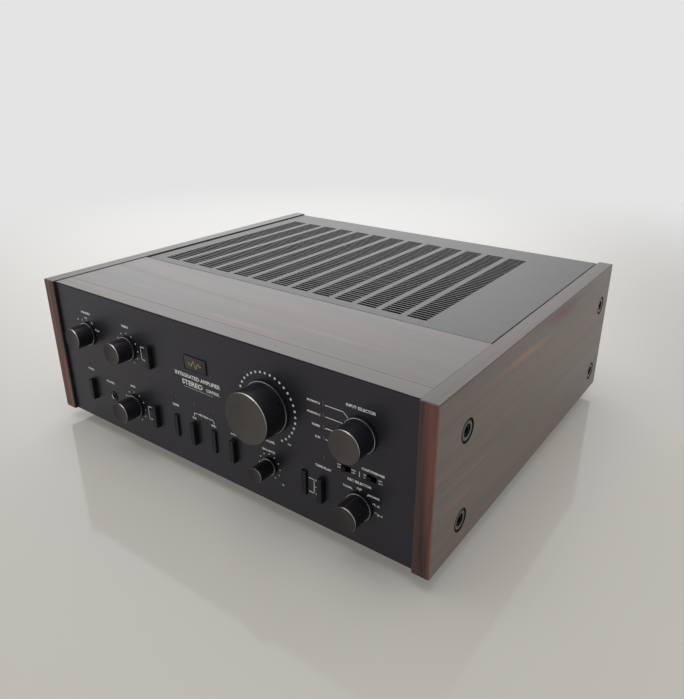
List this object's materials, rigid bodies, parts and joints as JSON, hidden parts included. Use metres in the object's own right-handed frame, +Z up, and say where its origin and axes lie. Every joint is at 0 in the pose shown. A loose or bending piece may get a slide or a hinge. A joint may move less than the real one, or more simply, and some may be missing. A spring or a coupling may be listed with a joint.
{
  "type": "integrated amplifier",
  "caption": "Wide stereo integrated amplifier: black front with turned knobs and tall push buttons, bolted wood cheeks, wood-fronted top with a slotted metal cover.",
  "frame": {"origin": "on the plane that the feet stand on, under the middle of the whole object's box", "axes": "+X to the right as seen from the front, across the wood cheeks; +Y to the back, away from the knobs; +Z up"},
  "size_m": [0.46, 0.437, 0.16],
  "materials": {
    "wood_cheek": "satin lacquered rosewood veneer, straight streaked grain",
    "wood_top": "satin lacquered rosewood veneer, grain across the width",
    "cover_paint": "satin dark grey stoved paint",
    "panel_black": "satin black anodised, fine brushed",
    "rear_paint": "satin black",
    "chassis_steel": "zinc plated sheet steel",
    "knob_metal": "matte black anodised, bright cut front edge",
    "button_plastic": "satin black",
    "washer_steel": "blackened steel, satin",
    "bolt_steel": "blackened steel, satin",
    "foot_plastic": "moulded black",
    "badge_metal": "dark brown enamel",
    "plated_metal": "nickel plated",
    "circuit_board": "phenolic board",
    "transformer_steel": "black enamelled steel shroud",
    "capacitor_can": "shrink sleeve over an aluminium can",
    "sink_aluminium": "black anodised extrusion",
    "terminal_plastic": "moulded black",
    "lamp_lens": "dark red translucent",
    "legend_white": "silk-screened ink"
  },
  "bodies": {
    "root": {"side_panel_left": "wood_cheek", "side_panel_right": "wood_cheek", "top_trim_wood": "wood_top", "top_cover": "cover_paint", "front_panel": "panel_black", "badge_plate": "badge_metal", "front_subchassis": "chassis_steel", "left_frame": "chassis_steel", "right_frame": "chassis_steel", "bottom_plate": "chassis_steel", "rear_panel": "rear_paint", "phones_jack": "plated_metal", "control_board": "circuit_board", "main_board": "circuit_board", "power_transformer": "transformer_steel", "filter_capacitor_left": "capacitor_can", "filter_capacitor_right": "capacitor_can", "heat_sink": "sink_aluminium", "input_jacks": "terminal_plastic", "speaker_terminals": "terminal_plastic", "ac_outlets": "terminal_plastic", "cord_gland": "terminal_plastic", "side_washer_left_front_lower": "washer_steel", "side_washer_left_rear_lower": "washer_steel", "side_washer_left_front_upper": "washer_steel", "side_washer_left_rear_upper": "washer_steel", "side_washer_right_front_lower": "washer_steel", "side_washer_right_rear_lower": "washer_steel", "side_washer_right_front_upper": "washer_steel", "side_washer_right_rear_upper": "washer_steel", "side_bolt_left_front_lower": "bolt_steel", "side_bolt_left_rear_lower": "bolt_steel", "side_bolt_left_front_upper": "bolt_steel", "side_bolt_left_rear_upper": "bolt_steel", "side_bolt_right_front_lower": "bolt_steel", "side_bolt_right_rear_lower": "bolt_steel", "side_bolt_right_front_upper": "bolt_steel", "side_bolt_right_rear_upper": "bolt_steel", "foot_front_left": "foot_plastic", "foot_front_right": "foot_plastic", "foot_rear_left": "foot_plastic", "foot_rear_right": "foot_plastic"},
    "speakers_knob": {"speakers_knob": "knob_metal"},
    "treble_knob": {"treble_knob": "knob_metal"},
    "bass_knob": {"bass_knob": "knob_metal"},
    "volume_knob": {"volume_knob": "knob_metal"},
    "balance_knob": {"balance_knob": "knob_metal"},
    "input_selector_knob": {"input_selector_knob": "knob_metal"},
    "record_selector_knob": {"record_selector_knob": "knob_metal"},
    "power_button": {"power_button": "button_plastic"},
    "bass_turnover_button": {"bass_turnover_button": "button_plastic"},
    "treble_turnover_button": {"treble_turnover_button": "button_plastic"},
    "tone_button": {"tone_button": "button_plastic"},
    "subsonic_button": {"subsonic_button": "button_plastic"},
    "high_filter_button": {"high_filter_button": "button_plastic"},
    "muting_button": {"muting_button": "button_plastic"},
    "tape_play_button_left": {"tape_play_button_left": "button_plastic"},
    "tape_play_button_right": {"tape_play_button_right": "button_plastic"},
    "cartridge_load_switch": {"cartridge_load_switch": "button_plastic"},
    "cartridge_type_switch": {"cartridge_type_switch": "button_plastic"}
  },
  "joints": [
    {"name": "speakers_turn", "type": "hinge", "parent": "root", "child": "speakers_knob", "pos_m": [-0.1685, -0.1935, 0.113], "axis": [0, 1, 0], "range_deg": [-30, 60]},
    {"name": "treble_turn", "type": "hinge", "parent": "root", "child": "treble_knob", "pos_m": [-0.1061, -0.1935, 0.113], "axis": [0, 1, 0], "range_deg": [-150, 150]},
    {"name": "bass_turn", "type": "hinge", "parent": "root", "child": "bass_knob", "pos_m": [-0.1061, -0.1935, 0.0503], "axis": [0, 1, 0], "range_deg": [-150, 150]},
    {"name": "volume_turn", "type": "hinge", "parent": "root", "child": "volume_knob", "pos_m": [0.0725, -0.1935, 0.107], "axis": [0, 1, 0], "range_deg": [0, 300]},
    {"name": "balance_turn", "type": "hinge", "parent": "root", "child": "balance_knob", "pos_m": [0.0725, -0.1935, 0.0503], "axis": [0, 1, 0], "range_deg": [-150, 150]},
    {"name": "input_selector_turn", "type": "hinge", "parent": "root", "child": "input_selector_knob", "pos_m": [0.1653, -0.1935, 0.1136], "axis": [0, 1, 0], "range_deg": [-30, 60]},
    {"name": "record_selector_turn", "type": "hinge", "parent": "root", "child": "record_selector_knob", "pos_m": [0.1653, -0.1935, 0.0503], "axis": [0, 1, 0], "range_deg": [-30, 90]},
    {"name": "power_press", "type": "slide", "parent": "root", "child": "power_button", "axis": [0, 1, 0], "range_m": [0, 0.0028]},
    {"name": "bass_turnover_press", "type": "slide", "parent": "root", "child": "bass_turnover_button", "axis": [0, 1, 0], "range_m": [0, 0.0028]},
    {"name": "treble_turnover_press", "type": "slide", "parent": "root", "child": "treble_turnover_button", "axis": [0, 1, 0], "range_m": [0, 0.0028]},
    {"name": "tone_press", "type": "slide", "parent": "root", "child": "tone_button", "axis": [0, 1, 0], "range_m": [-0.0028, 0]},
    {"name": "subsonic_press", "type": "slide", "parent": "root", "child": "subsonic_button", "axis": [0, 1, 0], "range_m": [0, 0.0028]},
    {"name": "high_filter_press", "type": "slide", "parent": "root", "child": "high_filter_button", "axis": [0, 1, 0], "range_m": [-0.0028, 0]},
    {"name": "muting_press", "type": "slide", "parent": "root", "child": "muting_button", "axis": [0, 1, 0], "range_m": [0, 0.0028]},
    {"name": "tape_play_press_left", "type": "slide", "parent": "root", "child": "tape_play_button_left", "axis": [0, 1, 0], "range_m": [-0.0028, 0]},
    {"name": "tape_play_press_right", "type": "slide", "parent": "root", "child": "tape_play_button_right", "axis": [0, 1, 0], "range_m": [0, 0.0028]},
    {"name": "cartridge_load_slide", "type": "slide", "parent": "root", "child": "cartridge_load_switch", "axis": [1, 0, 0], "range_m": [0, 0.004]},
    {"name": "cartridge_type_slide", "type": "slide", "parent": "root", "child": "cartridge_type_switch", "axis": [1, 0, 0], "range_m": [0, 0.004]}
  ]
}
